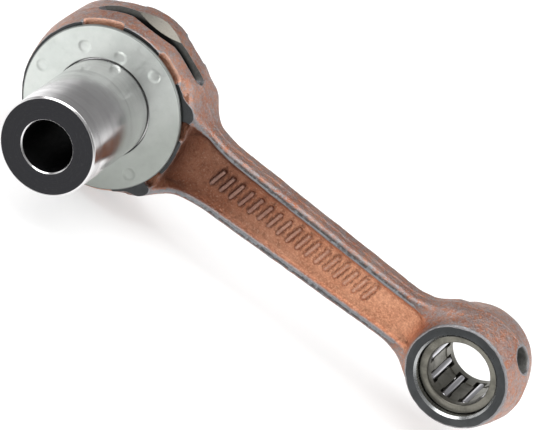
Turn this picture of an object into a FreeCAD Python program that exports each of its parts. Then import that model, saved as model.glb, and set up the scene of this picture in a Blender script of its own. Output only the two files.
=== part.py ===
import FreeCAD, Part

import math
import os

import Sketcher

# Connecting rod of a small two-stroke engine, with its crank pin, thrust washers and both
# caged needle bearings. Millimetres. The origin is the centre of the big end, on the crank
# pin's axis and on the rod's mid-plane: +X runs to the small end, Y is the pin's axis (the
# long end of the pin points to -Y) and +Z is up, with the rod lying on its edge.

DOC = FreeCAD.newDocument("connecting_rod")

SIZES = {
    # rod
    "centre_distance": 95.5,
    "big_bore_radius": 14.5,
    "big_half_width": 6.5,
    "big_face_radius": 19.2,
    "big_crown_radius": 20.4,
    "big_bore_chamfer": 0.3,
    "small_bore_radius": 9.0,
    "small_half_width": 7.9,
    "small_face_radius": 11.55,
    "small_crown_radius": 13.4,
    "small_bore_chamfer": 0.5,
    # beam
    "beam_half_thickness": 3.1,
    "beam_edge_round": 1.2,
    "beam_start": 12.3,
    "beam_start_half_height": 14.7,
    "beam_root": 20.6,
    "beam_root_half_height": 8.0,
    "beam_root_blend": 26.0,
    "beam_tip": 81.4,
    "beam_tip_half_height": 6.27,
    "beam_end": 87.3,
    "beam_end_half_height": 9.4,
    "beam_tip_blend": 17.0,
    "waist_start": 16.4,
    "waist_floor_start": 19.0,
    "waist_end": 90.0,
    "waist_blend": 4.0,
    "web_depth": 1.6,
    "web_start": 18.2,
    "web_start_half_height": 7.2,
    "web_root": 27.0,
    "web_root_half_height": 6.0,
    "web_end": 83.0,
    "web_end_half_height": 4.4,
    "web_wall_draft": 20.0,
    # oil slots in the big end's rim
    "slot_half_width": 1.65,
    "slot_half_angle": 39.0,
    "slot_middle_angle": 89.0,
    "slot_overrun": 1.5,
    "cutter_radius": 20.0,
    "cutter_depth": 3.5,
    "cutter_flank": 5.0,
    # oil pockets in the big end's side faces
    "pocket_depth": 1.0,
    "pocket_inner_radius": 15.6,
    "pocket_outer_radius": 19.9,
    # oil holes in the small end
    "oil_hole_radius": 2.8,
    "oil_hole_angle": 45.0,
    # crank pin
    "pin_radius": 11.0,
    "pin_hole_radius": 5.75,
    "pin_front_reach": 35.2,
    "pin_rear_reach": 16.8,
    "pin_end_chamfer": 0.4,
    "pin_hole_chamfer": 0.5,
    "pin_relief_radius": 10.8,
    "pin_relief_start": 6.85,
    "pin_relief_end": 7.6,
    # thrust washers
    "washer_radius": 18.47,
    "washer_hole_radius": 11.15,
    "washer_inner_face": 6.55,
    "washer_outer_face": 7.5,
    "washer_chamfer": 0.3,
    "dimple_radius": 1.25,
    "dimple_depth": 0.3,
    # big-end bearing
    "big_pitch_radius": 12.75,
    "big_needle_radius": 1.735,
    "big_needle_half_length": 4.9,
    "big_cage_outer_radius": 14.35,
    "big_cage_inner_radius": 11.2,
    "big_cage_half_width": 6.2,
    "big_window_half_width": 1.8,
    "big_window_half_length": 5.0,
    # small-end bearing, which stands a little towards the rear in its bore
    "small_pitch_radius": 8.0,
    "small_needle_radius": 0.98,
    "small_needle_half_length": 5.85,
    "small_cage_outer_radius": 8.88,
    "small_cage_inner_radius": 7.06,
    "small_cage_half_width": 7.9,
    "small_cage_middle": 2.0,
    "small_window_half_width": 1.06,
    "small_window_half_length": 6.0,
    "needle_end_chamfer": 0.15,
    # how far every cut runs past the surface that it opens
    "cut_overrun": 1.0,
}

BIG_NEEDLES = 14
SMALL_NEEDLES = 10
SMALL_NEEDLE_START_ANGLE = -20.0

# angle round the big end and half the angle that the pocket takes, in degrees
OIL_POCKETS = ((21.0, 7.0), (65.0, 11.0), (120.5, 14.5))

# angle and radius of each oil dimple in a thrust washer
WASHER_DIMPLES = (
    (181.0, 15.8),
    (136.5, 13.9),
    (99.7, 12.6),
    (65.5, 15.2),
    (-34.8, 15.6),
)


def make_sheet():
    """Put every driving dimension in a spreadsheet, as a plain number with an alias."""
    sheet = DOC.addObject("Spreadsheet::Sheet", "Sizes")
    for row, (alias, value) in enumerate(SIZES.items(), start=1):
        sheet.set(f"A{row}", alias.replace("_", " "))
        sheet.set(f"B{row}", str(value))
        sheet.setAlias(f"B{row}", alias)
    DOC.recompute()
    return sheet


SHEET = make_sheet()


def size(expression):
    """Add up an expression made of aliases and numbers joined by + and -."""
    total = 0.0
    for term in expression.replace("-", "+-").split("+"):
        term = term.strip()
        if not term:
            continue
        sign = -1.0 if term.startswith("-") else 1.0
        word = term.lstrip("-").strip()
        total += sign * (SIZES[word] if word in SIZES else float(word))
    return total


def in_sheet(expression):
    """The same expression with each alias named in the sheet, for setExpression."""
    out = []
    for token in expression.replace("-", " - ").replace("+", " + ").split():
        out.append(f"{SHEET.Name}.{token}" if token in SIZES else token)
    return " ".join(out)


def bind(thing, **sizes):
    """Bind properties of a feature to expressions of the sheet's aliases."""
    for name, expression in sizes.items():
        thing.setExpression(name.replace("__", "."), in_sheet(expression))


def new_body(label):
    body = DOC.addObject("PartDesign::Body", label)
    body.Label = label
    return body


def origin_feature(body, role):
    for feature in body.Origin.OriginFeatures:
        if feature.Role == role:
            return feature
    raise ValueError(role)


def new_sketch(body, name, role):
    sketch = body.newObject("Sketcher::SketchObject", name)
    sketch.AttachmentSupport = (origin_feature(body, role), "")
    sketch.MapMode = "FlatFace"
    return sketch


def pin_point(sketch, geometry, end, point):
    """Hold one end of a sketch edge at a pair of bound coordinates."""
    for kind, expression in zip(("DistanceX", "DistanceY"), point):
        index = sketch.addConstraint(
            Sketcher.Constraint(kind, -1, 1, geometry, end, size(expression))
        )
        sketch.setExpression(f"Constraints[{index}]", in_sheet(expression))


def polygon(sketch, points):
    """Draw a closed outline of straight edges whose corners are bound to the sheet."""
    corners = [FreeCAD.Vector(size(x), size(y), 0) for x, y in points]
    count = len(corners)
    edges = []
    for i in range(count):
        line = Part.LineSegment(corners[i], corners[(i + 1) % count])
        edges.append(sketch.addGeometry(line))
    for i in range(count):
        joint = Sketcher.Constraint("Coincident", edges[i], 2, edges[(i + 1) % count], 1)
        sketch.addConstraint(joint)
        pin_point(sketch, edges[i], 1, points[i])
    return edges


def circle(sketch, radius, x="0", y="0"):
    centre = FreeCAD.Vector(size(x), size(y), 0)
    edge = sketch.addGeometry(Part.Circle(centre, FreeCAD.Vector(0, 0, 1), size(radius)))
    pin_point(sketch, edge, 3, (x, y))
    index = sketch.addConstraint(Sketcher.Constraint("Radius", edge, size(radius)))
    sketch.setExpression(f"Constraints[{index}]", in_sheet(radius))
    return edge


def ring_sector(sketch, inner, outer, first, last):
    """Draw part of a flat ring between two radii and two angles in degrees, all bound."""
    start = math.radians(size(first))
    end = math.radians(size(last))
    arcs = []
    for radius in (inner, outer):
        ring = Part.Circle(FreeCAD.Vector(0, 0, 0), FreeCAD.Vector(0, 0, 1), size(radius))
        arc = sketch.addGeometry(Part.ArcOfCircle(ring, start, end))
        sketch.addConstraint(Sketcher.Constraint("Coincident", arc, 3, -1, 1))
        arcs.append(arc)
    sides = []
    for angle, arc_end in ((start, 1), (end, 2)):
        towards = FreeCAD.Vector(math.cos(angle), math.sin(angle), 0)
        line = Part.LineSegment(towards * size(inner), towards * size(outer))
        side = sketch.addGeometry(line)
        for arc, side_end in zip(arcs, (1, 2)):
            joint = Sketcher.Constraint("Coincident", arc, arc_end, side, side_end)
            sketch.addConstraint(joint)
        sides.append(side)
    for arc, radius in zip(arcs, (inner, outer)):
        index = sketch.addConstraint(Sketcher.Constraint("Radius", arc, size(radius)))
        sketch.setExpression(f"Constraints[{index}]", in_sheet(radius))
    for side, angle, degrees in zip(sides, (start, end), (first, last)):
        index = sketch.addConstraint(Sketcher.Constraint("Angle", -1, side, angle))
        sketch.setExpression(f"Constraints[{index}]", f"({in_sheet(degrees)}) * 1 deg")


def revolve(body, name, points, centre=None):
    """Add a full turn of an outline in (radius, Y) about the pin axis, or about a parallel one."""
    sketch = new_sketch(body, name + "_outline", "XY_Plane")
    if centre:
        bind(sketch, AttachmentOffset__Base__x=centre)
    polygon(sketch, points)
    turn = body.newObject("PartDesign::Revolution", name)
    turn.Profile = sketch
    turn.ReferenceAxis = (sketch, ["V_Axis"])
    turn.Angle = 360
    DOC.recompute()
    return turn


def edges_where(feature, test):
    """Names of a feature's edges whose middle point and curve pass a test."""
    names = []
    for number, edge in enumerate(feature.Shape.Edges, start=1):
        middle = edge.valueAt((edge.FirstParameter + edge.LastParameter) / 2)
        if test(edge, middle):
            names.append(f"Edge{number}")
    return names


def dress(body, kind, name, base, edges, expression):
    """Add a Fillet or Chamfer on named edges, bound to the sheet."""
    if not edges:
        raise ValueError(name)
    feature = body.newObject(f"PartDesign::{kind}", name)
    feature.Base = (base, edges)
    if kind == "Fillet":
        bind(feature, Radius=expression)
    else:
        bind(feature, Size=expression)
    DOC.recompute()
    return feature


def is_circle(edge, radius, centre_x=0.0):
    curve = edge.Curve
    return (
        isinstance(curve, Part.Circle)
        and abs(curve.Radius - radius) < 1e-4
        and abs(curve.Center.x - centre_x) < 1e-4
        and abs(curve.Axis.y) > 0.999
    )


def cut_checked(feature, before, label):
    """A pocket or groove must remove material."""
    DOC.recompute()
    if not feature.Shape.Volume < before - 1e-3:
        raise ValueError(f"{label} removed nothing")
    return feature


def mirrored(body, name, originals, role):
    feature = body.newObject("PartDesign::Mirrored", name)
    feature.Originals = originals
    feature.MirrorPlane = (origin_feature(body, role), [""])
    body.Tip = feature
    DOC.recompute()
    return feature


def make_beam(body):
    """The forged I-beam: its side outline, its waist, its rounded edges and both web recesses."""
    outline = new_sketch(body, "beam_outline", "XZ_Plane")
    upper = (
        ("beam_start", "beam_start_half_height"),
        ("beam_root", "beam_root_half_height"),
        ("beam_tip", "beam_tip_half_height"),
        ("beam_end", "beam_end_half_height"),
    )
    lower = tuple((x, "-" + z) for x, z in reversed(upper))
    polygon(outline, upper + lower)
    beam = body.newObject("PartDesign::Pad", "beam")
    beam.Profile = outline
    beam.Midplane = True
    bind(beam, Length="big_half_width + big_half_width")
    DOC.recompute()

    corners = (
        ("root_blend", "beam_root", "beam_root_blend"),
        ("tip_blend", "beam_tip", "beam_tip_blend"),
    )
    for name, place, radius in corners:
        edges = edges_where(beam, lambda e, p, x=size(place): abs(p.x - x) < 0.01)
        beam = dress(body, "Fillet", name, beam, edges, radius)

    # the waist thins the beam from the big end's width to the flanges' own thickness
    for name, side in (("front", "-"), ("rear", "")):
        waist = new_sketch(body, f"waist_{name}_outline", "XY_Plane")
        polygon(
            waist,
            (
                ("waist_start", f"{side}small_half_width"),
                ("waist_floor_start", f"{side}beam_half_thickness"),
                ("waist_end", f"{side}beam_half_thickness"),
                ("waist_end", f"{side}small_half_width"),
            ),
        )
        before = beam.Shape.Volume
        cut = body.newObject("PartDesign::Pocket", f"waist_{name}")
        cut.Profile = waist
        cut.Midplane = True
        bind(cut, Length="big_crown_radius + big_crown_radius")
        beam = cut_checked(cut, before, cut.Name)
    thickness = size("beam_half_thickness")
    floor_start = size("waist_floor_start")
    edges = edges_where(
        beam,
        lambda e, p: abs(abs(p.y) - thickness) < 0.01 and abs(p.x - floor_start) < 0.01,
    )
    beam = dress(body, "Fillet", "waist_blends", beam, edges, "waist_blend")

    # both long edges of each flange
    edges = edges_where(
        beam,
        lambda e, p: abs(abs(p.y) - thickness) < 0.01
        and abs(p.z) > size("beam_tip_half_height") - 0.5
        and p.x > floor_start + 4,
    )
    beam = dress(body, "Fillet", "flange_rounds", beam, edges, "beam_edge_round")

    web = new_sketch(body, "web_outline", "XZ_Plane")
    bind(web, AttachmentOffset__Base__z="beam_half_thickness")
    upper = (
        ("web_start", "web_start_half_height"),
        ("web_root", "web_root_half_height"),
        ("web_end", "web_end_half_height"),
    )
    lower = tuple((x, "-" + z) for x, z in reversed(upper))
    polygon(web, upper + lower)
    before = beam.Shape.Volume
    recess = body.newObject("PartDesign::Pocket", "web_recess")
    recess.Profile = web
    bind(recess, Length="web_depth")
    recess.TaperAngle = -size("web_wall_draft")
    beam = cut_checked(recess, before, "web recess")
    return mirrored(body, "web_recess_rear", [recess], "XZ_Plane")


def make_ends(body):
    """Both barrel-shaped ends, turned about their own axes, and their bores."""
    revolve(
        body,
        "big_end",
        (
            ("0", "-big_half_width"),
            ("big_face_radius", "-big_half_width"),
            ("big_crown_radius", "0"),
            ("big_face_radius", "big_half_width"),
            ("0", "big_half_width"),
        ),
    )
    ends = revolve(
        body,
        "small_end",
        (
            ("0", "-small_half_width"),
            ("small_face_radius", "-small_half_width"),
            ("small_crown_radius", "0"),
            ("small_face_radius", "small_half_width"),
            ("0", "small_half_width"),
        ),
        centre="centre_distance",
    )
    for name, centre, radius, width in (
        ("big_bore", "0", "big_bore_radius", "big_half_width"),
        ("small_bore", "centre_distance", "small_bore_radius", "small_half_width"),
    ):
        sketch = new_sketch(body, name + "_circle", "XZ_Plane")
        circle(sketch, radius, x=centre)
        before = ends.Shape.Volume
        bore = body.newObject("PartDesign::Pocket", name)
        bore.Profile = sketch
        bore.Midplane = True
        bind(bore, Length=f"{width} + {width} + cut_overrun")
        ends = cut_checked(bore, before, name)
    for name, centre, radius in (
        ("big_bore", 0.0, "big_bore_radius"),
        ("small_bore", size("centre_distance"), "small_bore_radius"),
    ):
        edges = edges_where(ends, lambda e, p: is_circle(e, size(radius), centre))
        ends = dress(body, "Chamfer", name + "_chamfer", ends, edges, name + "_chamfer")
    return ends


def make_oil_slots(body, base):
    """A milled slot along the rim above and below, each widened by a V-edged disc cutter."""
    sketch = new_sketch(body, "slot_outline", "XZ_Plane")
    ring_sector(
        sketch,
        "big_bore_radius - slot_overrun",
        "big_crown_radius + slot_overrun",
        "slot_middle_angle - slot_half_angle",
        "slot_middle_angle + slot_half_angle",
    )
    DOC.recompute()
    slot = body.newObject("PartDesign::Pocket", "oil_slot")
    slot.Profile = sketch
    slot.Midplane = True
    bind(slot, Length="slot_half_width + slot_half_width")
    cut_checked(slot, base.Shape.Volume, "oil slot")

    flank = new_sketch(body, "cutter_profile", "YZ_Plane")
    bind(flank, AttachmentOffset__Base__y="big_crown_radius - cutter_depth + cutter_radius")
    polygon(
        flank,
        (
            ("0", "-cutter_radius"),
            ("cutter_flank", "cutter_flank - cutter_radius"),
            ("-cutter_flank", "cutter_flank - cutter_radius"),
        ),
    )
    before = slot.Shape.Volume
    relief = body.newObject("PartDesign::Groove", "slot_relief")
    relief.Profile = flank
    relief.ReferenceAxis = (flank, ["H_Axis"])
    relief.Angle = 360
    cut_checked(relief, before, "slot relief")
    return mirrored(body, "oil_slots_below", [slot, relief], "XY_Plane")


def make_oil_pockets(body, base):
    """Shallow recesses that lead oil across the big end's side faces, under the washers."""
    pockets = []
    before = base.Shape.Volume
    for number, (middle, half) in enumerate(OIL_POCKETS, start=1):
        sketch = new_sketch(body, f"oil_pocket_{number}_outline", "XZ_Plane")
        bind(sketch, AttachmentOffset__Base__z="big_half_width")
        edges = (str(middle - half), str(middle + half))
        ring_sector(sketch, "pocket_inner_radius", "pocket_outer_radius", *edges)
        pocket = body.newObject("PartDesign::Pocket", f"oil_pocket_{number}")
        pocket.Profile = sketch
        bind(pocket, Length="pocket_depth")
        cut_checked(pocket, before, pocket.Name)
        before = pocket.Shape.Volume
        pockets.append(pocket)
    below = body.newObject("PartDesign::Mirrored", "pockets_below")
    below.MirrorPlane = (origin_feature(body, "XY_Plane"), [""])
    behind = body.newObject("PartDesign::Mirrored", "pockets_behind")
    behind.MirrorPlane = (origin_feature(body, "XZ_Plane"), [""])
    every = body.newObject("PartDesign::MultiTransform", "oil_pockets")
    every.Originals = pockets
    every.Transformations = [below, behind]
    body.Tip = every
    DOC.recompute()
    return every


def make_oil_holes(body):
    """Two radial oil holes through the small end, away from the beam."""
    feature = None
    for name, sign in (("upper_oil_hole", 1), ("lower_oil_hole", -1)):
        drill = body.newObject("PartDesign::SubtractiveCylinder", name)
        tilt = 90 - sign * size("oil_hole_angle")
        turn = FreeCAD.Rotation(FreeCAD.Vector(0, 1, 0), tilt)
        drill.MapMode = "Deactivated"
        drill.Placement = FreeCAD.Placement(FreeCAD.Vector(0, 0, 0), turn)
        bind(
            drill,
            Placement__Base__x="centre_distance",
            Radius="oil_hole_radius",
            Height="small_crown_radius + cut_overrun",
        )
        DOC.recompute()
        feature = drill
    return feature


def make_rod():
    body = new_body("connecting_rod")
    make_beam(body)
    ends = make_ends(body)
    slots = make_oil_slots(body, ends)
    make_oil_pockets(body, slots)
    make_oil_holes(body)
    return body


def make_pin():
    """The hollow crank pin. A shallow relief on each side parts the raceway from the press-fit ends."""
    body = new_body("crank_pin")
    chamfer = "pin_end_chamfer"
    mouth = "pin_hole_radius + pin_hole_chamfer"
    revolve(
        body,
        "pin_body",
        (
            (mouth, "-pin_front_reach"),
            (f"pin_radius - {chamfer}", "-pin_front_reach"),
            ("pin_radius", f"{chamfer} - pin_front_reach"),
            ("pin_radius", "-pin_relief_end"),
            ("pin_relief_radius", "-pin_relief_end"),
            ("pin_relief_radius", "-pin_relief_start"),
            ("pin_radius", "-pin_relief_start"),
            ("pin_radius", "pin_relief_start"),
            ("pin_relief_radius", "pin_relief_start"),
            ("pin_relief_radius", "pin_relief_end"),
            ("pin_radius", "pin_relief_end"),
            ("pin_radius", f"pin_rear_reach - {chamfer}"),
            (f"pin_radius - {chamfer}", "pin_rear_reach"),
            (mouth, "pin_rear_reach"),
            ("pin_hole_radius", "pin_rear_reach - pin_hole_chamfer"),
            ("pin_hole_radius", "pin_hole_chamfer - pin_front_reach"),
        ),
    )
    return body


def make_washer(label, side):
    """A thrust washer with shallow oil dimples in its outer face. side is -1 in front, 1 behind."""
    sign = "-" if side < 0 else ""
    body = new_body(label)
    revolve(
        body,
        label + "_ring",
        (
            ("washer_hole_radius", f"{sign}washer_inner_face"),
            ("washer_radius", f"{sign}washer_inner_face"),
            ("washer_radius", washer_edge(side)),
            ("washer_radius - washer_chamfer", f"{sign}washer_outer_face"),
            ("washer_hole_radius", f"{sign}washer_outer_face"),
        ),
    )
    before = body.Shape.Volume
    sketch = new_sketch(body, label + "_dimples_outline", "XZ_Plane")
    # the sketch plane's own normal is -Y, so the front face lies at a positive offset
    outward = "washer_outer_face" if side < 0 else "-washer_outer_face"
    bind(sketch, AttachmentOffset__Base__z=outward)
    for angle, radius in WASHER_DIMPLES:
        x = round(radius * math.cos(math.radians(angle)), 3)
        z = round(radius * math.sin(math.radians(angle)), 3)
        circle(sketch, "dimple_radius", x=str(x), y=str(z))
    dimples = body.newObject("PartDesign::Pocket", label + "_dimples")
    dimples.Profile = sketch
    dimples.Reversed = side > 0
    bind(dimples, Length="dimple_depth")
    cut_checked(dimples, before, label)
    return body


def washer_edge(side):
    if side < 0:
        return "washer_chamfer - washer_outer_face"
    return "washer_outer_face - washer_chamfer"


def make_cage(label, end, count, first_angle, centre, middle):
    """A bearing cage: a ring with a window for each needle. end is big or small."""
    body = new_body(label)
    revolve(
        body,
        label + "_ring",
        (
            (f"{end}_cage_inner_radius", f"{middle} - {end}_cage_half_width"),
            (f"{end}_cage_outer_radius", f"{middle} - {end}_cage_half_width"),
            (f"{end}_cage_outer_radius", f"{middle} + {end}_cage_half_width"),
            (f"{end}_cage_inner_radius", f"{middle} + {end}_cage_half_width"),
        ),
    )
    before = body.Shape.Volume
    # the first bar, not the first window, lies on the ring's own seam
    half_pitch = 180.0 / count
    sketch = new_sketch(body, label + "_window_outline", "YZ_Plane")
    sketch.AttachmentOffset = FreeCAD.Placement(
        FreeCAD.Vector(0, 0, 0), FreeCAD.Rotation(FreeCAD.Vector(1, 0, 0), half_pitch)
    )
    polygon(
        sketch,
        (
            (f"{middle} - {end}_window_half_length", f"-{end}_window_half_width"),
            (f"{middle} + {end}_window_half_length", f"-{end}_window_half_width"),
            (f"{middle} + {end}_window_half_length", f"{end}_window_half_width"),
            (f"{middle} - {end}_window_half_length", f"{end}_window_half_width"),
        ),
    )
    window = body.newObject("PartDesign::Pocket", label + "_window")
    window.Profile = sketch
    window.Reversed = True
    bind(window, Length=f"{end}_cage_outer_radius + cut_overrun")
    cut_checked(window, before, label)
    pattern = body.newObject("PartDesign::PolarPattern", label + "_windows")
    pattern.Originals = [window]
    pattern.Axis = (origin_feature(body, "Y_Axis"), [""])
    pattern.Angle = 360
    pattern.Occurrences = count
    body.Tip = pattern
    DOC.recompute()
    turn = FreeCAD.Rotation(FreeCAD.Vector(0, 1, 0), -first_angle - half_pitch)
    body.Placement = FreeCAD.Placement(FreeCAD.Vector(0, 0, 0), turn)
    bind(body, Placement__Base__x=centre)
    return body


def make_needle(label, end, angle, centre, middle):
    """One needle roller, parallel to Y, on its bearing's pitch circle."""
    body = new_body(label)
    radius = f"{end}_needle_radius"
    chamfered = f"{radius} - needle_end_chamfer"
    reach = f"{end}_needle_half_length"
    revolve(
        body,
        label + "_roller",
        (
            ("0", f"-{reach}"),
            (chamfered, f"-{reach}"),
            (radius, f"needle_end_chamfer - {reach}"),
            (radius, f"{reach} - needle_end_chamfer"),
            (chamfered, reach),
            ("0", reach),
        ),
    )
    pitch = in_sheet(f"{end}_pitch_radius")
    body.setExpression("Placement.Base.x", f"{in_sheet(centre)} + {pitch} * cos({angle} deg)")
    body.setExpression("Placement.Base.y", in_sheet(middle))
    body.setExpression("Placement.Base.z", f"{pitch} * sin({angle} deg)")
    return body


def make_bearing(end, count, first_angle, centre, middle):
    parts = [make_cage(f"{end}_end_cage", end, count, first_angle, centre, middle)]
    for number in range(count):
        label = f"{end}_end_needle_{number + 1:02d}"
        angle = round(first_angle + 360.0 * number / count, 6)
        parts.append(make_needle(label, end, angle, centre, middle))
    return parts


def check_and_write(parts):
    """Every object must have computed and every sub-part must be a sound solid before any is written."""
    DOC.recompute()
    for thing in DOC.Objects:
        if "Invalid" in thing.State or "Error" in thing.State:
            raise RuntimeError(f"{thing.Label} failed: {thing.State}")
    for part in parts:
        shape = part.Shape
        if shape.isNull() or not shape.isValid() or len(shape.Solids) != 1:
            raise RuntimeError(f"{part.Label} isn't one sound solid")
    os.makedirs("parts", exist_ok=True)
    for part in parts:
        part.Shape.exportStep(f"parts/{part.Label}.step")
        box = part.Shape.BoundBox
        spans = f"{box.XLength:.2f} x {box.YLength:.2f} x {box.ZLength:.2f}"
        print(f"{part.Label}: {part.Shape.Volume:.1f} mm3, {spans}")


ALL_PARTS = [
    make_rod(),
    make_pin(),
    make_washer("front_thrust_washer", -1),
    make_washer("rear_thrust_washer", 1),
]
ALL_PARTS += make_bearing("big", BIG_NEEDLES, 0.0, "0", "0")
ALL_PARTS += make_bearing(
    "small",
    SMALL_NEEDLES,
    SMALL_NEEDLE_START_ANGLE,
    "centre_distance",
    "small_cage_middle",
)
check_and_write(ALL_PARTS)
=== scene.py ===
import math

import bmesh
import bpy
import numpy as np
import openvdb
from mathutils import Euler, Matrix, Vector


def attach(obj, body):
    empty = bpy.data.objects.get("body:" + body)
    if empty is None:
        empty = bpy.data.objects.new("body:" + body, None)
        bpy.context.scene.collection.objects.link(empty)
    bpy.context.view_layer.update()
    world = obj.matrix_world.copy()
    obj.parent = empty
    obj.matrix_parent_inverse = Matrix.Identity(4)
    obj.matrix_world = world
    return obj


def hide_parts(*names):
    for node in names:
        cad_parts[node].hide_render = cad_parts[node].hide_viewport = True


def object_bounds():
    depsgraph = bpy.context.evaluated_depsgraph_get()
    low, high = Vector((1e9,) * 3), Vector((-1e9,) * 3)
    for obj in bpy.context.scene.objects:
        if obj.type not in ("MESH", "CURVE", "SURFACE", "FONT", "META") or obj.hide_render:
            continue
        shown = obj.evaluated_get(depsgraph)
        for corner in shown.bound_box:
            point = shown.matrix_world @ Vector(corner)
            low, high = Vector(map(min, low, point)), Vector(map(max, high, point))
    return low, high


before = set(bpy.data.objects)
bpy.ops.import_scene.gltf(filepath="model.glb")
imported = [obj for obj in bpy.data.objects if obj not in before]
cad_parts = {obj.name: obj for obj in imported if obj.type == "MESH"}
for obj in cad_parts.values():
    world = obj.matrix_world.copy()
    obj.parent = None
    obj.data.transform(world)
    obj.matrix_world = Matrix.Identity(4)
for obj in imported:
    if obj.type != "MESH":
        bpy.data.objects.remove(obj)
CAD_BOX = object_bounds()

# All shapes below are drawn in millimetres in the row frame and become metres in add_mesh().
MM = 0.001

BIG_BORE = 14.5
BIG_HALF_WIDTH = 6.5
BIG_FACE_RADIUS = 19.2
BIG_CROWN_RADIUS = 20.25
SMALL_X = 95.5
SMALL_BORE = 9.0
SMALL_HALF_WIDTH = 7.9
SMALL_FACE_RADIUS = 11.55
SMALL_CROWN_RADIUS = 13.25
FLANGE_HALF_THICKNESS = 3.1
WEB_HALF_THICKNESS = 1.5
SMALL_CAGE_MIDDLE = 2.0
BEAM_MIDDLE = 50.0
SLOT_HALF_WIDTH = 1.6
SLOT_HALF_ANGLE = 42.5
SLOT_MIDDLE = 88.5
SLOT_CAP = math.degrees(SLOT_HALF_WIDTH / 18.0)
RELIEF_CENTRE = 36.9
RELIEF_RADIUS = 20.0
OIL_HOLE_RADIUS = 2.8
DIAGONAL = 1 / math.sqrt(2)

# The rod's materials, in the order in which main() gives them to it.
FORGED, GROUND, BORE, RELIEF, SLOT = range(5)


# ---------------------------------------------------------------- camera, light and floor

def make_camera():
    """The camera looks down on the rod from in front, a little to its right, and is rolled."""
    azimuth, elevation, roll = (math.radians(a) for a in (8.6995, 28.4189, 32.9712))
    camera = bpy.data.objects.new("camera", bpy.data.cameras.new("camera"))
    bpy.context.scene.collection.objects.link(camera)
    camera.data.lens = 363.03
    camera.data.sensor_width = 36.0
    camera.data.clip_start = 0.1
    camera.data.clip_end = 20.0
    level = Euler((math.pi / 2 - elevation, 0, azimuth)).to_matrix().to_4x4()
    turned = level @ Matrix.Rotation(roll, 4, "Z")
    camera.matrix_world = Matrix.Translation((0.19464, -1.00066, 0.54723)) @ turned
    bpy.context.scene.camera = camera


def make_light(name, place, aim, width, height, power):
    data = bpy.data.lights.new(name, "AREA")
    data.shape = "RECTANGLE"
    data.size = width
    data.size_y = height
    data.energy = power
    light = bpy.data.objects.new(name, data)
    bpy.context.scene.collection.objects.link(light)
    light.location = place
    light.rotation_euler = (Vector(aim) - Vector(place)).to_track_quat("-Z", "Y").to_euler()


def make_world():
    """A studio that is bright near the floor, dim above it and lighter again overhead."""
    world = bpy.data.worlds.new("studio")
    bpy.context.scene.world = world
    world.use_nodes = True
    nodes, links = world.node_tree.nodes, world.node_tree.links
    direction = nodes.new("ShaderNodeTexCoord")
    height = nodes.new("ShaderNodeSeparateXYZ")
    ramp = nodes.new("ShaderNodeValToRGB")
    links.new(direction.outputs["Generated"], height.inputs[0])
    links.new(height.outputs[2], ramp.inputs[0])
    links.new(ramp.outputs[0], nodes["Background"].inputs["Color"])
    stops = ((0.0, 0.95), (0.16, 0.80), (0.34, 0.30), (0.62, 0.24), (1.0, 0.60))
    elements = ramp.color_ramp.elements
    elements[0].position, elements[1].position = stops[0][0], stops[-1][0]
    for place, _ in stops[1:-1]:
        elements.new(place)
    for element, (_, level) in zip(elements, stops):
        element.color = (level, level, level, 1.0)


# ---------------------------------------------------------------- mesh helpers

def add_mesh(name, points, faces, scale=MM):
    mesh = bpy.data.meshes.new(name)
    scaled = [(x * scale, y * scale, z * scale) for x, y, z in points]
    mesh.from_pydata(scaled, [], faces)
    mesh.validate()
    mesh.update()
    piece = bpy.data.objects.new(name, mesh)
    bpy.context.scene.collection.objects.link(piece)
    return piece


def smooth(piece, degrees=30.0):
    piece.data.shade_smooth()
    piece.data.set_sharp_from_angle(angle=math.radians(degrees))


def soften(corners, steps=5):
    """Round a closed outline. Each corner is (radius from the axis, y, rounding radius)."""
    points = []
    count = len(corners)
    for i, (r, y, rounding) in enumerate(corners):
        here = Vector((r, y))
        if rounding <= 0:
            points.append((r, y))
            continue
        before = (Vector(corners[i - 1][:2]) - here).normalized()
        after = (Vector(corners[(i + 1) % count][:2]) - here).normalized()
        half = before.angle(after) / 2
        reach = rounding / math.tan(half)
        centre = here + (before + after).normalized() * rounding / math.sin(half)
        start = here + before * reach - centre
        end = here + after * reach - centre
        for k in range(steps + 1):
            towards = start.slerp(end, k / steps).normalized()
            points.append(tuple(centre + towards * rounding))
    return points


def lathe(name, outline, segments, centre=(0.0, 0.0, 0.0), scale=MM):
    """Turn a closed outline of (radius, y) about the Y axis through a centre."""
    points, faces = [], []
    count = len(outline)
    for s in range(segments):
        angle = 2 * math.pi * s / segments
        for r, y in outline:
            x = centre[0] + r * math.cos(angle)
            z = centre[2] + r * math.sin(angle)
            points.append((x, centre[1] + y, z))
    for s in range(segments):
        a, b = s * count, ((s + 1) % segments) * count
        for k in range(count):
            n = (k + 1) % count
            if outline[k][0] < 1e-6 and outline[n][0] < 1e-6:
                continue
            faces.append((a + k, a + n, b + n, b + k))
    piece = add_mesh(name, points, faces, scale)
    work = bmesh.new()
    work.from_mesh(piece.data)
    bmesh.ops.remove_doubles(work, verts=work.verts, dist=1e-7 * scale / MM)
    bmesh.ops.recalc_face_normals(work, faces=work.faces)
    work.to_mesh(piece.data)
    work.free()
    return piece


def cut(piece, *cutters):
    """Take closed cutters away from a closed piece, and remove the cutters."""
    for cutter in cutters:
        modifier = piece.modifiers.new("cut", "BOOLEAN")
        modifier.operation = "DIFFERENCE"
        modifier.solver = "MANIFOLD"
        modifier.object = cutter
        bpy.context.view_layer.update()
        evaluated = piece.evaluated_get(bpy.context.evaluated_depsgraph_get())
        made = bpy.data.meshes.new_from_object(evaluated)
        piece.modifiers.clear()
        old = piece.data
        if not len(made.polygons) or len(made.polygons) == len(old.polygons):
            raise RuntimeError(f"{cutter.name} cut nothing from {piece.name}")
        made.materials.clear()
        piece.data = made
        bpy.data.meshes.remove(old)
        bpy.data.objects.remove(cutter)


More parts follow.
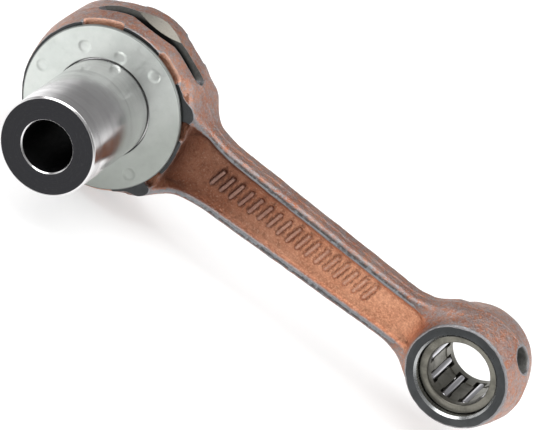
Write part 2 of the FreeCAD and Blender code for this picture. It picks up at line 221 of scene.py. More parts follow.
def extrude_outline(name, inner, outer):
    """A closed solid between two matching loops of points."""
    count = len(inner)
    faces = [tuple(range(count)), tuple(range(2 * count - 1, count - 1, -1))]
    for k in range(count):
        n = (k + 1) % count
        faces.append((k, k + count, n + count, n))
    piece = add_mesh(name, list(inner) + list(outer), faces, 1.0)
    work = bmesh.new()
    work.from_mesh(piece.data)
    bmesh.ops.recalc_face_normals(work, faces=work.faces)
    work.to_mesh(piece.data)
    work.free()
    return piece


def block(name, low, high):
    (x0, y0, z0), (x1, y1, z1) = low, high
    lower = [(x0, y0, z0), (x1, y0, z0), (x1, y1, z0), (x0, y1, z0)]
    upper = [(x, y, z1) for x, y, z in lower]
    return extrude_outline(name, lower, upper)


# ---------------------------------------------------------------- the forging, as a distance field

STEP = 0.25
LOW = (-21.5, -9.0, -21.5)
HIGH = (110.0, 9.0, 21.5)


def round_union(a, b, radius):
    inside = np.maximum(radius, np.minimum(a, b))
    return inside - np.hypot(np.maximum(radius - a, 0), np.maximum(radius - b, 0))


def round_cut(a, b, radius):
    """The part that is inside both a and b, with the edge between them rounded."""
    outside = np.minimum(-radius, np.maximum(a, b))
    return outside + np.hypot(np.maximum(radius + a, 0), np.maximum(radius + b, 0))


def lattice_noise(shape, cell, seed):
    """Smooth noise from -1 to 1 that changes over about one cell, given in millimetres."""
    rng = np.random.default_rng(seed)
    values = rng.uniform(-1, 1, [int(n * STEP / cell) + 3 for n in shape])
    for axis, n in enumerate(shape):
        place = np.arange(n) * STEP / cell
        index = place.astype(int)
        t = place - index
        t = t * t * (3 - 2 * t)
        t = t.reshape([-1 if k == axis else 1 for k in range(3)])
        low = np.take(values, index, axis=axis)
        high = np.take(values, index + 1, axis=axis)
        values = low * (1 - t) + high * t
    return values


def beam_half_height(x):
    """Half the beam's height: nearly straight, flaring in an arc into either end."""
    straight = 8.58 - 0.02867 * x
    root_x, root_radius = 31.0, 26.0
    tip_x, tip_radius = 76.0, 17.0
    root = 33.69 - np.sqrt(np.maximum(root_radius**2 - (root_x - x) ** 2, 0))
    root = np.minimum(root, 13.7)
    tip = 23.4 - np.sqrt(np.maximum(tip_radius**2 - (x - tip_x) ** 2, 0))
    out = np.where(x < root_x, root, np.where(x > tip_x, tip, straight))
    return np.where(x > 86.0, 9.65, out)


def pocket_half_height(x):
    """Half the height of the recess in the beam's web, measured at the flange tops."""
    places = (16.0, 21.0, 25.0, 29.0, 36.0, 44.0, 55.0, 65.0, 75.0, 80.0, 90.0)
    heights = (10.4, 7.9, 6.75, 6.05, 5.72, 5.5, 5.12, 4.86, 4.6, 4.6, 4.9)
    return np.interp(x, places, heights)


def capsule(x, z, ax, az, bx, bz):
    length = (bx - ax) ** 2 + (bz - az) ** 2
    t = np.clip(((x - ax) * (bx - ax) + (z - az) * (bz - az)) / max(length, 1e-9), 0, 1)
    return np.hypot(x - ax - t * (bx - ax), z - az - t * (bz - az))


def tally_marks(x, z):
    """Distance to a plain row of slanted raised ribs, all alike and evenly spaced."""
    first, last, count = 28.0, 69.0, 17
    low, high, slant = -1.5, 2.5, 1.1
    near = np.full(x.shape, 1e3, np.float32)
    for place in np.linspace(first, last, count):
        near = np.minimum(near, capsule(x, z, place, low, place + slant, high))
    return near


def oil_pocket(radial, angle, y, middle, half):
    """A shallow rounded recess in a side face. Its middle and half-width are in degrees."""
    centre, half_height = 17.75, 2.35
    across = np.abs(radial - centre) - half_height
    turn = np.abs((angle - math.radians(middle) + math.pi) % (2 * math.pi) - math.pi)
    along = (turn - math.radians(half)) * radial
    outline = round_cut(across, along, 1.0)
    return round_cut(outline, (BIG_HALF_WIDTH - 1.0) - np.abs(y), 0.9)


def beam_field(x, y, z):
    """The I-beam: a rounded bar with a web recess in each side."""
    ay, az = np.abs(y), np.abs(z)
    rounding = 1.1
    rise = 3.6 * np.clip((24.0 - x) / 6.4, 0, 1.0) ** 2 * np.clip((x - 13.8) / 3.0, 0, 1)
    qy = ay - FLANGE_HALF_THICKNESS - rise + rounding
    qz = (az - beam_half_height(x) + 0.05 * ay) * 0.97 + rounding
    bar = np.hypot(np.maximum(qy, 0), np.maximum(qz, 0))
    bar += np.minimum(np.maximum(qy, qz), 0) - rounding
    draft = math.tan(math.radians(24.0))
    lean = (FLANGE_HALF_THICKNESS - ay) * draft
    wall = (az - pocket_half_height(x) + lean) * math.cos(math.atan(draft))
    web_top = WEB_HALF_THICKNESS + 0.012 * (x - 55.0) * (x < 55.0)
    recess = round_cut(wall, web_top - ay, 1.1)
    beam = round_cut(bar, -recess, 0.35)
    first, last = 4.0, 92.0
    return np.maximum(beam, np.maximum(first - x, x - last))


def big_end_field(x, y, z):
    """The big end's barrel. Its rim tapers to the front, and has shallow flats at the rear."""
    ay = np.abs(y)
    turn = np.arctan2(np.abs(z), x)
    rear = np.clip(y / BIG_HALF_WIDTH, 0, 1)
    flats = 0.2 * np.cos((turn - math.pi / 2) * 6.7) * np.clip((turn - 0.75) / 0.3, 0, 1)
    fall = (BIG_CROWN_RADIUS - BIG_FACE_RADIUS) * np.clip(-y / BIG_HALF_WIDTH, 0, 1.1) ** 1.5
    crown = BIG_CROWN_RADIUS - fall + (flats - 0.06) * rear
    return round_cut((np.hypot(x, z) - crown) * 0.98, ay - 6.62, 0.35)


def small_end_field(x, y, z):
    """The small end's crowned barrel."""
    ay = np.abs(y)
    drop = (SMALL_CROWN_RADIUS - SMALL_FACE_RADIUS) * (ay / SMALL_HALF_WIDTH) ** 1.35
    radial = np.hypot(x - SMALL_X, z)
    return round_cut((radial - SMALL_CROWN_RADIUS + drop) * 0.97, ay - 8.0, 0.55)


def oil_hole_field(x, y, z):
    """The small end's oil holes, drilled at 45 degrees from above and from below."""
    az = np.abs(z)
    along = (x - SMALL_X) * DIAGONAL + az * DIAGONAL
    hole = np.hypot((x - SMALL_X) * DIAGONAL - az * DIAGONAL, y) - OIL_HOLE_RADIUS
    return np.maximum(hole, -along)


def forging_field():
    """Distance to the forging's surface, in millimetres, before anything is machined."""
    axes = [np.arange(a, b, STEP, dtype=np.float32) for a, b in zip(LOW, HIGH)]
    x, y, z = np.meshgrid(*axes, indexing="ij")
    big_fillet, small_fillet = 4.4, 3.0
    solid = round_union(beam_field(x, y, z), big_end_field(x, y, z), big_fillet)
    solid = round_union(solid, small_end_field(x, y, z), small_fillet)

    # plain raised ribs on the front of the web
    marks = tally_marks(x[:, 0, :], z[:, 0, :])[:, None, :]
    raised = round_cut(marks - 0.47, -y - (WEB_HALF_THICKNESS + 0.5), 0.25)
    raised = np.maximum(raised, y)
    solid = round_union(solid, raised, 0.3)

    # forged oil pockets in both side faces, and the oil holes of the small end
    radial = np.hypot(x, z)
    angle = np.arctan2(np.abs(z), x)
    pockets = ((21.0, 7.0), (65.0, 11.0), (120.5, 14.5))
    for middle, half in pockets:
        solid = round_cut(solid, -oil_pocket(radial, angle, y, middle, half), 0.35)
    solid = round_cut(solid, -oil_hole_field(x, y, z), 0.45)

    # the uneven skin of a forging, and the trimmed flash where its dies met
    rough = 0.055 * lattice_noise(x.shape, 3.1, 11) + 0.04 * lattice_noise(x.shape, 1.3, 12)
    rough += 0.022 * lattice_noise(x.shape, 0.6, 13)
    flash = np.exp(-(((y + 0.12 * lattice_noise(x.shape, 9.0, 14)) / 0.38) ** 2))
    flash *= 0.13 + 0.06 * lattice_noise(x.shape, 2.5, 15)
    return (solid + rough - flash).astype(np.float32)


def bend_of(field):
    """How sharply the surface bends: positive on outer edges, negative in corners."""
    reach = 3
    total = -6 * field
    for axis in range(3):
        total = total + np.roll(field, reach, axis) + np.roll(field, -reach, axis)
    return total / (reach * STEP)


def make_forging():
    field = forging_field()
    far_value = 10.0
    grid = openvdb.FloatGrid(far_value)
    grid.copyFromArray(np.ascontiguousarray(field, dtype=np.float32))
    points, triangles, quads = grid.convertToPolygons(0.0, 0.0)
    points = points * STEP + np.array(LOW)
    faces = [tuple(int(i) for i in f[::-1]) for f in quads]
    faces += [tuple(int(i) for i in f[::-1]) for f in triangles]
    forging = add_mesh("connecting_rod_forging", points.tolist(), faces, 1.0)
    work = bmesh.new()
    work.from_mesh(forging.data)
    bmesh.ops.recalc_face_normals(work, faces=work.faces)
    work.to_mesh(forging.data)
    work.free()
    return forging, bend_of(field)


def slot_cutter(name, side):
    """The oil slot along the rim: a bent stadium, from the bore out through the crown."""
    straight = SLOT_HALF_ANGLE - SLOT_CAP
    inside, outside = 12.5, 26.0
    outline = []
    for start, end in ((-90, straight), (90, -straight)):
        for k in range(13):
            a = math.radians(start + 15 * k)
            outline.append((end + SLOT_CAP * math.cos(a), SLOT_HALF_WIDTH * math.sin(a)))
    dense = []
    for k, (angle, y) in enumerate(outline):
        following = outline[(k + 1) % len(outline)]
        parts = 40 if abs(following[0] - angle) > 5 else 1
        for j in range(parts):
            dense.append((angle + (following[0] - angle) * j / parts, y))
    loops = []
    for r in (inside, outside):
        loop = []
        for angle, y in dense:
            a = math.radians(SLOT_MIDDLE + angle)
            loop.append((r * math.cos(a), y, side * r * math.sin(a)))
        loops.append(loop)
    return extrude_outline(name, *loops)


def make_rod():
    rod, bend = make_forging()
    wide = 30.0
    for side in (-1, 1):
        low, high = sorted((side * BIG_HALF_WIDTH, side * 12.0))
        cut(rod, block("big_face", (-wide, low, -wide), (40.0, high, wide)))
        low, high = sorted((side * SMALL_HALF_WIDTH, side * 12.0))
        cut(rod, block("small_face", (60.0, low, -wide), (130.0, high, wide)))
    bores = ((0.0, BIG_BORE, BIG_HALF_WIDTH, 0.35), (SMALL_X, SMALL_BORE, SMALL_HALF_WIDTH, 0.5))
    for x, radius, width, chamfer in bores:
        flat, far = width - chamfer, 4.0
        outline = [(0, -flat - far), (radius + far, -flat - far), (radius, -flat)]
        outline += [(r, -y) for r, y in reversed(outline)]
        cut(rod, lathe("bore", outline, 192, (x, 0, 0), 1.0))
    for side in (-1, 1):
        rim = RELIEF_RADIUS
        disc = [(0, -5.0), (rim - 5.0, -5.0), (rim, 0), (rim - 5.0, 5.0), (0, 5.0)]
        cut(rod, lathe("relief", disc, 192, (0, 0, side * RELIEF_CENTRE), 1.0))
        cut(rod, slot_cutter("slot", side))
    return rod, bend


def vectors(items, name):
    """One vector for each item of a mesh, as the rows of an array."""
    flat = np.zeros(len(items) * 3, np.float32)
    items.foreach_get(name, flat)
    return flat.reshape(-1, 3)


def set_attribute(mesh, name, values):
    attribute = mesh.attributes.new(name, "FLOAT", "POINT")
    attribute.data.foreach_set("value", values.astype(np.float32))


def mark_points(mesh, bend):
    """Note at each point how sharply it bends, if it can be rubbed, and if a flange ends there."""
    points = vectors(mesh.vertices, "co")
    x, y, z = points[:, 0], np.abs(points[:, 1]), np.abs(points[:, 2])
    from_pin = np.hypot(x, z)
    index = np.rint((points - np.array(LOW)) / STEP).astype(int)
    index = np.clip(index, 0, np.array(bend.shape) - 1)
    wear = bend[index[:, 0], index[:, 1], index[:, 2]]
    turn = np.degrees(np.arctan2(z, x))
    past_cap = np.maximum(np.abs(turn - SLOT_MIDDLE) - SLOT_HALF_ANGLE + SLOT_CAP, 0)
    from_slot = np.hypot(past_cap * SLOT_HALF_WIDTH / SLOT_CAP, y) - SLOT_HALF_WIDTH
    worn_edge = 1.4
    wear[(np.abs(from_slot) < 0.05) & (from_pin > 18.5)] = worn_edge
    set_attribute(mesh, "bend", wear)

    facing = np.abs(vectors(mesh.vertex_normals, "vector")[:, 1])
    recess = np.clip((pocket_half_height(x) - z + 0.1) / 0.5, 0, 1)
    recess *= np.clip((x - 17.5) / 1.5, 0, 1) * np.clip((84.5 - x) / 2.0, 0, 1)
    outer = np.ones(len(points), np.float32)
    outer -= recess
    in_oil_pocket = (facing > 0.5) & (y < 6.42) & (y > 5.2) & (from_pin < 20.2)
    outer[in_oil_pocket] = 0.0
    set_attribute(mesh, "outer", outer)

    top = np.clip((facing - 0.8) / 0.15, 0, 1) * (np.abs(y - FLANGE_HALF_THICKNESS) < 0.4)
    top = top * outer * np.clip((x - 20) / 4, 0, 1) * np.clip((84 - x) / 8, 0, 1)
    set_attribute(mesh, "flange_top", top)


def sort_faces(mesh):
    """Give each face its finish, by where it lies and which way it looks."""
    centres = vectors(mesh.polygons, "center")
    normals = np.abs(vectors(mesh.polygons, "normal"))
    x, y, z = centres[:, 0], np.abs(centres[:, 1]), np.abs(centres[:, 2])
    level = normals[:, 1] > 0.999
    radial = np.hypot(x, z)
    small_radial = np.hypot(x - SMALL_X, z)
    kind = np.full(len(centres), FORGED, np.int32)
    big_face = level & (np.abs(y - BIG_HALF_WIDTH) < 0.02) & (x < BEAM_MIDDLE)
    small_face = level & (np.abs(y - SMALL_HALF_WIDTH) < 0.02) & (x > BEAM_MIDDLE)
    kind[(radial < BIG_BORE + 0.36) & (y < BIG_HALF_WIDTH + 0.02)] = BORE
    kind[(small_radial < SMALL_BORE + 0.51) & (y < SMALL_HALF_WIDTH + 0.02)] = BORE
    kind[big_face | small_face] = GROUND

    in_rim = (radial > BIG_BORE + 0.1) & (radial < 20.6) & (z > 8)
    outward = (normals[:, 0] * np.abs(x) + normals[:, 2] * z) / radial
    slot_wall = (y < SLOT_HALF_WIDTH + 0.06) & (radial < 20.0) & (outward < 0.5)
    kind[in_rim & slot_wall] = SLOT
    from_relief = np.abs(np.hypot(x, z - RELIEF_CENTRE) + y - RELIEF_RADIUS)
    kind[in_rim & (from_relief < 0.03) & (normals[:, 1] > 0.4)] = RELIEF
    from_hole = np.hypot((x - SMALL_X) * DIAGONAL - z * DIAGONAL, y)
    along_hole = (x - SMALL_X) * DIAGONAL + z * DIAGONAL
    in_hole = (from_hole < OIL_HOLE_RADIUS + 0.15) & (along_hole > SMALL_BORE)
    kind[in_hole & (small_radial > SMALL_BORE + 0.2) & (small_radial < 12.6)] = SLOT
    mesh.polygons.foreach_set("material_index", kind)


# ---------------------------------------------------------------- materials

# The Attribute node's output for a single number.
FACTOR_OUTPUT = 2


class Shader:
    """A material whose nodes are added one call at a time."""

    def __init__(self, name, slot_colour, **sockets):
        self.material = bpy.data.materials.new(name)
        self.material.use_nodes = True
        self.material.diffuse_color = (*slot_colour, 1.0)
        self.tree = self.material.node_tree
        self.surface = self.tree.nodes["Principled BSDF"]
        for socket, value in sockets.items():
            self.surface.inputs[socket.replace("_", " ")].default_value = value
        where = self.tree.nodes.new("ShaderNodeTexCoord")
        self.place = where.outputs["Object"]

    def node(self, kind, output=0, settings=(), **inputs):
        made = self.tree.nodes.new("ShaderNode" + kind)
        for key, value in dict(settings).items():
            setattr(made, key, value)
        for key, value in inputs.items():
            socket = made.inputs[int(key[1:])] if key[1:].isdigit() else made.inputs[key]
            if isinstance(value, bpy.types.NodeSocket):
                self.tree.links.new(value, socket)
            else:
                socket.default_value = value
        return made.outputs[output]

    def noise(self, size_mm, detail=3.0, rough=0.55, stretch=None):
        """Noise whose lumps are about size_mm across. stretch scales X, Y and Z."""
        place = self.place
        if stretch:
            place = self.node("Mapping", Vector=place, Scale=stretch)
        return self.node(
            "TexNoise", Vector=place, Scale=1 / (size_mm * MM), Detail=detail, Roughness=rough,
        )

    def attribute(self, name):
        return self.node("Attribute", FACTOR_OUTPUT, {"attribute_name": name})

    def math(self, operation, a, b=0.0):
        return self.node("Math", 0, {"operation": operation}, _0=a, _1=b)

    def span(self, value, low, high, to_low=0.0, to_high=1.0):
        """Map low..high to to_low..to_high, clamped."""
        return self.node(
            "MapRange", 0, {"interpolation_type": "SMOOTHSTEP"},
            _0=value, _1=low, _2=high, _3=to_low, _4=to_high,
        )

    def blend(self, share, a, b):
        """Mix two colours."""
        a, b = (c if isinstance(c, bpy.types.NodeSocket) else (*c, 1.0) for c in (a, b))
        return self.node("Mix", 2, {"data_type": "RGBA"}, _0=share, _6=a, _7=b)

    def mix(self, share, a, b):
        """Mix two numbers."""
        return self.math("ADD", self.math("MULTIPLY", share, b),
                         self.math("MULTIPLY", self.math("SUBTRACT", 1.0, share), a))

    def axis(self, name):
        return self.node("SeparateXYZ", "XYZ".index(name), Vector=self.place)

    def radius(self):
        """Distance from the crank pin's axis."""
        x, z = self.axis("X"), self.axis("Z")
        return self.math("SQRT", self.math("ADD", self.math("MULTIPLY", x, x),
                                           self.math("MULTIPLY", z, z)))

    def set(self, **sockets):
        for key, value in sockets.items():
            self.tree.links.new(value, self.surface.inputs[key.replace("_", " ")])

    def bump(self, *layers):
        """Bump from (height, depth in millimetres) layers."""
        normal = None
        for height, depth in layers:
            inputs = {"Height": height, "Distance": depth * MM, "Strength": 1.0}
            if normal is not None:
                inputs["Normal"] = normal
            normal = self.node("Bump", **inputs)
        self.set(Normal=normal)


def copper_material():
    """Copper plate over forged steel, rubbed through to grey wherever a hand or a bin can reach."""
    m = Shader("forged_copper", (0.42, 0.17, 0.1), Metallic=1.0)
    bend, outer, flange_top = (m.attribute(name) for name in ("bend", "outer", "flange_top"))
    broad = m.noise(8.0, 5.0, 0.6)
    patch = m.noise(1.5, 6.0, 0.68)
    grain = m.noise(0.9, 5.0, 0.65)
    fine = m.noise(0.42, 4.0, 0.72)
    y = m.math("ABSOLUTE", m.axis("Y"))
    x = m.axis("X")

    colour = m.blend(m.span(broad, 0.35, 0.65), (0.40, 0.155, 0.088), (0.52, 0.245, 0.155))
    colour = m.blend(m.span(grain, 0.50, 0.70, 0.0, 0.5), colour, (0.20, 0.085, 0.052))
    colour = m.blend(m.span(fine, 0.53, 0.68, 0.0, 0.75), colour, (0.78, 0.49, 0.355))
    # the web's recess: painted shade next to the big end, painted light next to the small end
    hidden = m.math("SUBTRACT", 1.0, outer)
    near_beam = m.math("GREATER_THAN", x, 12.0 * MM)
    along = m.math("MULTIPLY", m.span(x, 14.0 * MM, 66.0 * MM, 0.72, 0.0), near_beam)
    painted_shade = m.math("MULTIPLY", along, hidden)
    painted_light = m.math("MULTIPLY", m.span(x, 26.0 * MM, 70.0 * MM, 0.0, 0.70), hidden)
    painted_light = m.math("MULTIPLY", painted_light, m.span(fine, 0.36, 0.62, 0.35, 1.0))
    colour = m.blend(painted_light, colour, (0.80, 0.42, 0.255))
    # painted highlight: the oil pockets are lighter
    pocket_highlight = m.math("MULTIPLY", m.math("SUBTRACT", 1.0, near_beam), hidden)
    colour = m.blend(m.math("MULTIPLY", pocket_highlight, 0.6), colour, (0.85, 0.50, 0.36))
    colour = m.blend(painted_shade, colour, (0.070, 0.028, 0.017))
    # painted shade: darker in concave corners
    corner_shade = m.span(bend, -0.25, -1.3, 0.0, 0.7)
    colour = m.blend(corner_shade, colour, (0.09, 0.040, 0.028))

    # grey where the copper is rubbed thin, and dark on the flange tops
    rubbed = m.math("ADD", patch, m.math("MULTIPLY", m.math("SUBTRACT", fine, 0.5), 0.8))
    rubbed = m.math("MULTIPLY", m.span(rubbed, 0.30, 0.66), outer)
    grey = m.blend(fine, (0.13, 0.125, 0.13), (0.46, 0.445, 0.45))
    colour = m.blend(m.math("MULTIPLY", rubbed, 0.78), colour, grey)
    dark = m.math("MULTIPLY", flange_top, m.span(grain, 0.25, 0.50, 0.75, 1.0))
    colour = m.blend(dark, colour, m.blend(fine, (0.030, 0.029, 0.030), (0.16, 0.155, 0.155)))

    # bare steel on worn edges and beside the ground faces
    edge = m.math("ADD", bend, m.math("MULTIPLY", m.math("SUBTRACT", grain, 0.5), 1.0))
    worn = m.math("MULTIPLY", m.span(edge, 0.62, 0.95), m.mix(outer, 0.25, 1.0))
    big = m.math("MULTIPLY", m.math("LESS_THAN", x, BEAM_MIDDLE * MM),
                 m.span(y, 6.2 * MM, 6.42 * MM))
    small = m.math("MULTIPLY", m.math("GREATER_THAN", x, BEAM_MIDDLE * MM),
                   m.span(y, 7.1 * MM, 7.5 * MM))
    machined = m.math("MULTIPLY", m.math("ADD", big, small), m.span(grain, 0.25, 0.42))
    worn = m.math("MAXIMUM", worn, m.math("MULTIPLY", machined, outer))
    steel = m.blend(fine, (0.13, 0.135, 0.145), (0.40, 0.41, 0.425))
    colour = m.blend(m.math("MULTIPLY", worn, 0.9), colour, steel)
    roughness = m.mix(worn, m.span(grain, 0.3, 0.7, 0.34, 0.54), 0.30)
    m.set(Base_Color=colour, Roughness=roughness)
    m.bump((patch, 0.06), (grain, 0.15), (fine, 0.16))
    return m.material


def ground_material():
    m = Shader("ground_steel", (0.3, 0.32, 0.33), Metallic=1.0)
    lines = m.noise(0.10, 2.0, 0.5, stretch=(1.0, 1.0, 0.05))
    broad = m.noise(6.0, 3.0)
    # painted shade: the ground faces are coloured nearly black, with fine grinding lines
    colour = m.blend(lines, (0.034, 0.036, 0.037), (0.066, 0.069, 0.071))
    colour = m.blend(m.span(broad, 0.4, 0.7, 0.0, 0.4), colour, (0.095, 0.099, 0.102))
    m.set(Base_Color=colour, Roughness=m.span(lines, 0.2, 0.8, 0.26, 0.42))
    m.bump((lines, 0.006))
    return m.material


def bore_material():
    m = Shader("honed_bore", (0.4, 0.4, 0.4), Metallic=1.0)
    lines = m.noise(0.12, 2.0, 0.5, stretch=(1.0, 0.06, 1.0))
    m.set(
        Base_Color=m.blend(lines, (0.36, 0.37, 0.37), (0.52, 0.53, 0.53)),
        Roughness=m.span(lines, 0.2, 0.8, 0.16, 0.30),
    )
    m.bump((lines, 0.004))
    return m.material


def relief_material():
    m = Shader("milled_relief", (0.3, 0.28, 0.25), Metallic=1.0)
    lines = m.noise(0.14, 3.0, 0.6, stretch=(0.15, 1.0, 1.0))
    grain = m.noise(0.5, 4.0, 0.6)
    colour = m.blend(lines, (0.13, 0.122, 0.105), (0.27, 0.255, 0.225))
    colour = m.blend(m.span(grain, 0.55, 0.75, 0.0, 0.5), colour, (0.10, 0.092, 0.08))
    m.set(Base_Color=colour, Roughness=m.span(lines, 0.2, 0.8, 0.36, 0.52))
    m.bump((lines, 0.012), (grain, 0.02))
    return m.material


def slot_material():
    m = Shader("slot_wall", (0.1, 0.1, 0.1), Metallic=0.35)
    grain = m.noise(0.5, 4.0, 0.6)
    # painted shade: deep in the slots the walls are nearly black; near the crown and in the oil
    # holes they are steel
    shallow = m.span(m.radius(), 18.5 * MM, 19.6 * MM)
    at_hole = m.math("GREATER_THAN", m.axis("X"), BEAM_MIDDLE * MM)
    steel = m.blend(grain, (0.10, 0.10, 0.095), (0.32, 0.32, 0.30))
    m.set(
        Base_Color=m.blend(m.math("MAXIMUM", shallow, at_hole), (0.008, 0.008, 0.008), steel),
        Roughness=m.span(grain, 0.3, 0.7, 0.4, 0.6),
    )
    m.bump((grain, 0.03))
    return m.material


def pin_material():
    m = Shader("polished_pin", (0.6, 0.6, 0.6), Metallic=1.0)
    lines = m.noise(0.09, 2.0, 0.5, stretch=(0.04, 1.0, 0.04))
    bands = m.noise(2.4, 3.0, 0.6, stretch=(0.08, 1.0, 0.08))
    smear = m.noise(4.0, 4.0, 0.6)
    colour = m.blend(lines, (0.66, 0.65, 0.65), (0.86, 0.85, 0.855))
    colour = m.blend(m.span(bands, 0.42, 0.66, 0.0, 0.45), colour, (0.48, 0.47, 0.48))
    rough = m.math("ADD", m.span(bands, 0.3, 0.7, 0.15, 0.24), m.span(smear, 0.4, 0.7, 0.0, 0.05))
    m.set(Base_Color=colour, Roughness=rough)
    m.bump((lines, 0.0035))
    return m.material


def pin_end_material():
    m = Shader("turned_pin_end", (0.06, 0.06, 0.065), Metallic=1.0)
    rings_per_metre = 9000.0
    rings = m.node("TexNoise", 0, {"noise_dimensions": "1D"},
                   W=m.math("MULTIPLY", m.radius(), rings_per_metre), Scale=1.0, Detail=2.0)
    grain = m.noise(0.5, 4.0, 0.6)
    colour = m.blend(rings, (0.022, 0.022, 0.025), (0.045, 0.045, 0.048))
    colour = m.blend(m.span(grain, 0.5, 0.75, 0.0, 0.4), colour, (0.060, 0.060, 0.063))
    m.set(Base_Color=colour, Roughness=m.span(grain, 0.3, 0.7, 0.34, 0.5))
    m.bump((rings, 0.006), (grain, 0.008))
    return m.material


def dark_bore_material():
    m = Shader("dark_pin_bore", (0.02, 0.02, 0.02), Metallic=1.0)
    grain = m.noise(0.8, 4.0, 0.6, stretch=(1.0, 0.3, 1.0))
    # painted shade: the pin's bore is nearly black
    m.set(
        Base_Color=m.blend(grain, (0.012, 0.012, 0.013), (0.04, 0.04, 0.042)),
        Roughness=m.span(grain, 0.3, 0.7, 0.4, 0.62),
    )
    m.bump((grain, 0.02))
    return m.material


def washer_material():
    m = Shader("satin_washer", (0.7, 0.72, 0.7), Metallic=1.0)
    cloud = m.noise(5.0, 5.0, 0.6)
    grain = m.noise(0.22, 3.0, 0.6)
    scuff = m.noise(1.4, 4.0, 0.7)
    colour = m.blend(m.span(cloud, 0.35, 0.65), (0.635, 0.67, 0.64), (0.70, 0.73, 0.70))
    colour = m.blend(m.span(scuff, 0.60, 0.80, 0.0, 0.35), colour, (0.50, 0.53, 0.50))
    # painted shade: the side towards +X and -Z is darker
    painted_shade_side = m.math("SUBTRACT", m.math("MULTIPLY", m.axis("X"), 0.9),
                      m.math("MULTIPLY", m.axis("Z"), 0.5))
    colour = m.blend(m.span(painted_shade_side, 0.0, 15.0 * MM, 0.0, 0.85), colour, (0.31, 0.33, 0.305))
    radius = m.radius()
    # painted shade: a dark line along the outer and inner edges
    rim = m.math("MAXIMUM", m.span(radius, 18.17 * MM, 18.27 * MM),
                 m.span(radius, 11.36 * MM, 11.28 * MM))
    colour = m.blend(m.math("MULTIPLY", rim, 0.7), colour, (0.16, 0.17, 0.165))
    m.set(Base_Color=colour, Roughness=m.span(scuff, 0.3, 0.7, 0.36, 0.50))
    m.bump((grain, 0.006), (cloud, 0.02))
    return m.material


def cage_material(name, dark, light):
    m = Shader(name, dark, Metallic=1.0)
    grain = m.noise(0.35, 5.0, 0.65)
    cloud = m.noise(2.6, 4.0, 0.6)
    colour = m.blend(grain, dark, light)
    colour = m.blend(m.span(cloud, 0.45, 0.7, 0.0, 0.5), colour, tuple(0.6 * c for c in dark))
    m.set(Base_Color=colour, Roughness=m.span(cloud, 0.3, 0.7, 0.30, 0.46))
    m.bump((grain, 0.012))
    return m.material


def needle_material():
    m = Shader("polished_needle", (0.7, 0.7, 0.72), Metallic=1.0)
    lines = m.noise(0.05, 2.0, 0.5, stretch=(1.0, 0.08, 1.0))
    m.set(
        Base_Color=m.blend(lines, (0.60, 0.595, 0.63), (0.76, 0.755, 0.79)),
        Roughness=m.span(lines, 0.2, 0.8, 0.12, 0.20),
    )
    m.bump((lines, 0.002))
    return m.material


def floor_material():
    m = Shader("pale_floor", (0.9, 0.9, 0.9), Roughness=0.9, Specular_IOR_Level=0.1,
               Emission_Color=(1.0, 1.0, 1.0, 1.0), Emission_Strength=0.5)
    cloud = m.noise(160.0, 2.0)
    m.set(Base_Color=m.blend(cloud, (0.57, 0.57, 0.57), (0.60, 0.60, 0.60)))
    return m.material


# ---------------------------------------------------------------- the other pieces

def finish_piece(piece, body, slot, node, *materials):
    smooth(piece)
    for material in materials:
        piece.data.materials.append(material)
    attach(piece, body)
    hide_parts(node)


def make_pin():
    front, rear, radius, groove, hole = -35.2, 16.8, 11.0, 10.8, 5.75
    outline = soften([
        (hole, front + 0.28, 0.06), (hole + 0.28, front, 0.06),
        (radius - 0.36, front, 0.12), (radius, front + 0.36, 0.12),
        (radius, -7.6, 0), (groove, -7.55, 0), (groove, -6.9, 0), (radius, -6.85, 0),
        (radius, 6.85, 0), (groove, 6.9, 0), (groove, 7.55, 0), (radius, 7.6, 0),
        (radius, rear - 0.45, 0.12), (radius - 0.45, rear, 0.12),
        (hole + 0.5, rear, 0.08), (hole, rear - 0.5, 0.08),
    ])
    piece = lathe("crank_pin_turned", outline, 256)
    for face in piece.data.polygons:
        radial = math.hypot(face.center.x, face.center.z) / MM
        if abs(face.normal.y) > 0.98:
            face.material_index = 1
        elif radial < hole + 0.02:
            face.material_index = 2
    finish_piece(
        piece, "crank_pin", "ground_pin", "crank_pin",
        pin_material(), pin_end_material(), dark_bore_material(),
    )


def make_washer(name, side, material):
    """A thrust washer with five shallow round dimples in its outer face."""
    hole, radius, inner, outer = 11.15, 18.47, 6.55, 7.5
    dimple_radius, dimple_depth = 1.45, 0.26
    dimples = [(181.0, 15.8), (136.5, 13.9), (99.7, 12.6), (65.5, 15.2), (-34.8, 15.6)]
    places = [(r * math.cos(math.radians(a)), r * math.sin(math.radians(a))) for a, r in dimples]
    rings = [hole + 0.18 + (radius - 0.3 - hole - 0.18) * k / 44 for k in range(45)]
    outline = [(hole, outer - 0.18), (hole, inner + 0.1), (hole + 0.1, inner)]
    outline += [(radius - 0.12, inner), (radius, inner + 0.12), (radius, outer - 0.25)]
    outline += [(radius - 0.09, outer - 0.08), (radius - 0.22, outer - 0.01)]
    outline += [(r, outer) for r in reversed(rings)]
    outline += [(hole + 0.06, outer - 0.06)]
    piece = lathe(name, outline, 400)
    for vertex in piece.data.vertices:
        if vertex.co.y < (outer - 0.005) * MM:
            continue
        depth = 0.0
        for x, z in places:
            far = math.hypot(vertex.co.x / MM - x, vertex.co.z / MM - z)
            t = max(0.0, 1 - (far / dimple_radius) ** 2)
            depth = max(depth, dimple_depth * t * (2 - t))
        vertex.co.y -= depth * MM
    if side < 0:
        for vertex in piece.data.vertices:
            vertex.co.y = -vertex.co.y
        piece.data.flip_normals()
    piece.data.update()
    node = name.replace("_plate", "")
    finish_piece(piece, node, "plated_washer", node, material)


def window_cutter(name, centre, angle, loops):
    """A window seen along its own radius: an outline of (along Y, across) at two radii."""
    c, s = math.cos(angle), math.sin(angle)
    rows = []
    for radius, outline in loops:
        row = []
        for y, across in outline:
            row.append((centre[0] + radius * c - across * s, centre[1] + y,
                        centre[2] + radius * s + across * c))
        rows.append(row)
    return extrude_outline(name, *rows)


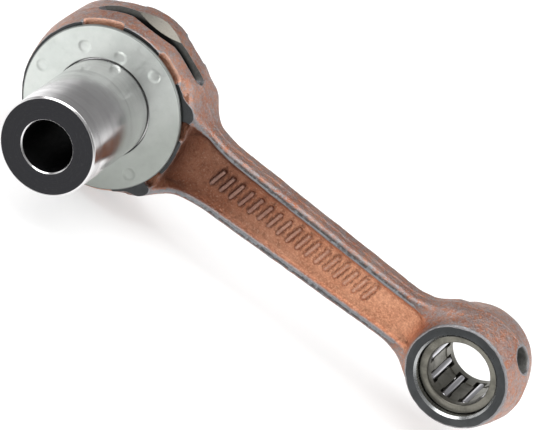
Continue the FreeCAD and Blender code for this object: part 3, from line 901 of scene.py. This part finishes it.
def make_cage(name, body, slot, centre, sizes, needle_radius, count, first_angle, material):
    """A bearing cage. Its windows are wide at the ends and narrower in the middle."""
    inner, outer, half_width, window, half_length = sizes
    step = half_length * 0.62
    outline = soften([
        (inner, -half_width, 0.35), (outer, -half_width, 0.25),
        (outer, half_width, 0.25), (inner, half_width, 0.35),
        (inner, step + 0.12, 0), (inner + 0.16, step, 0),
        (inner + 0.16, -step, 0), (inner, -step - 0.12, 0),
    ])
    cage = lathe(name, outline, 240, centre, 1.0)
    narrow = needle_radius + 0.04
    side = [(-half_length, window), (-step, window), (-step + 0.3, narrow),
            (step - 0.3, narrow), (step, window), (half_length, window)]
    shape = side + [(y, -across) for y, across in reversed(side)]
    for number in range(count):
        angle = math.radians(first_angle + 360.0 * number / count)
        loops = ((inner - 1.5, shape), (outer + 1.5, shape))
        cut(cage, window_cutter("window", centre, angle, loops))
    cage.data.transform(Matrix.Scale(MM, 4))
    finish_piece(cage, body, slot, body, material)


def make_needle(name, body, radius, half_length, centre, material):
    crown = 0.42 * radius
    outline = soften([
        (0, -half_length, 0), (radius, -half_length, crown), (radius, half_length, crown),
        (0, half_length, 0),
    ], 7)
    piece = lathe(name, outline, 40, centre)
    finish_piece(piece, body, "needle", body, material)


def make_bearings():
    needle = needle_material()
    bearings = (
        ("big", 14, 0.0, (0.0, 0.0, 0.0), 12.75, 1.735, 4.9, (11.2, 14.35, 6.2, 2.0, 5.0),
         cage_material("big_cage_steel", (0.12, 0.115, 0.10), (0.24, 0.23, 0.20))),
        ("small", 10, -20.0, (SMALL_X, SMALL_CAGE_MIDDLE, 0.0), 8.0, 0.98, 5.85,
         (7.06, 8.88, 7.9, 1.25, 6.0),
         cage_material("small_cage_steel", (0.12, 0.115, 0.095), (0.27, 0.26, 0.225))),
    )
    for end, count, first, centre, pitch, radius, reach, sizes, material in bearings:
        cage = f"{end}_end_cage"
        make_cage(cage + "_ring", cage, f"{end}_cage", centre, sizes, radius, count, first,
                  material)
        for number in range(count):
            angle = math.radians(first + 360.0 * number / count)
            node = f"{end}_end_needle_{number + 1:02d}"
            place = (centre[0] + pitch * math.cos(angle), centre[1],
                     centre[2] + pitch * math.sin(angle))
            make_needle(node + "_roller", node, radius, reach, place, needle)


def make_floor():
    bottom = CAD_BOX[0].z
    half = 1.5
    corners = [(-half, -half, bottom), (half, -half, bottom), (half, half, bottom),
               (-half, half, bottom)]
    floor = add_mesh("floor", corners, [(0, 1, 2, 3)], 1.0)
    floor.data.materials.append(floor_material())


def main():
    bpy.context.scene.view_settings.view_transform = "Standard"
    make_camera()
    make_world()
    make_light("key_light", (-0.70, -0.55, 1.15), (0.03, 0, 0), 1.1, 1.1, 13.0)
    make_light("side_light", (1.15, 0.25, 0.70), (0.05, 0, 0), 0.7, 1.0, 7.0)
    make_light("top_light", (0.15, 0.05, 1.45), (0.05, 0, 0), 1.0, 1.0, 8.0)
    make_floor()

    rod, bend = make_rod()
    mark_points(rod.data, bend)
    sort_faces(rod.data)
    rod.data.transform(Matrix.Scale(MM, 4))
    finish_piece(
        rod, "rod", "forged_rod", "connecting_rod", copper_material(), ground_material(),
        bore_material(), relief_material(), slot_material(),
    )
    make_pin()
    washer = washer_material()
    make_washer("front_thrust_washer_plate", -1, washer)
    make_washer("rear_thrust_washer_plate", 1, washer)
    make_bearings()


main()
